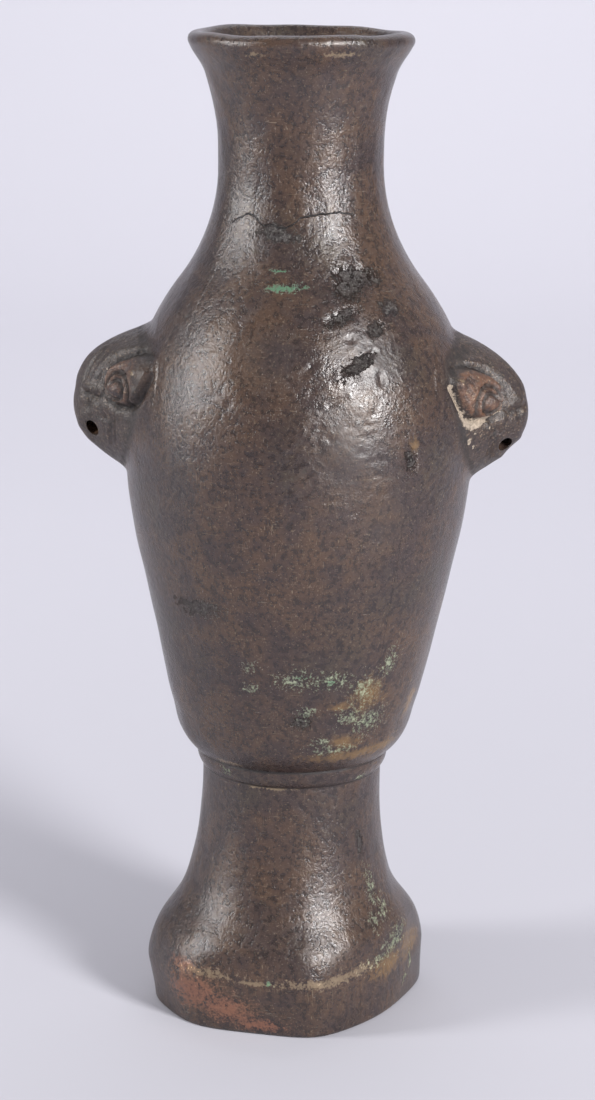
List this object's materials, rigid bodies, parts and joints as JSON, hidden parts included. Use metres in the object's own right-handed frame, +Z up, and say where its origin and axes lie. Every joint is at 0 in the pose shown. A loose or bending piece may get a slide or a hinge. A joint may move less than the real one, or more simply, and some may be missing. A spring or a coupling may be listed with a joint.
{
  "type": "cast vase",
  "caption": "Small waisted baluster vase cast in one piece, with beast-mask lugs on the shoulder, a ringed collar and a flared eight-sided hollow foot.",
  "frame": {"origin": "middle of the foot's resting face, on the axis of the vase", "axes": "+Z up the axis to the mouth, +X towards one mask lug, -Y towards the viewer of the picture"},
  "size_m": [0.0644, 0.0488, 0.14],
  "materials": {
    "patinated_bronze": "dark brown patina over cast bronze, half gloss where handled"
  },
  "bodies": {
    "root": {"cast_vase": "patinated_bronze"}
  },
  "joints": []
}
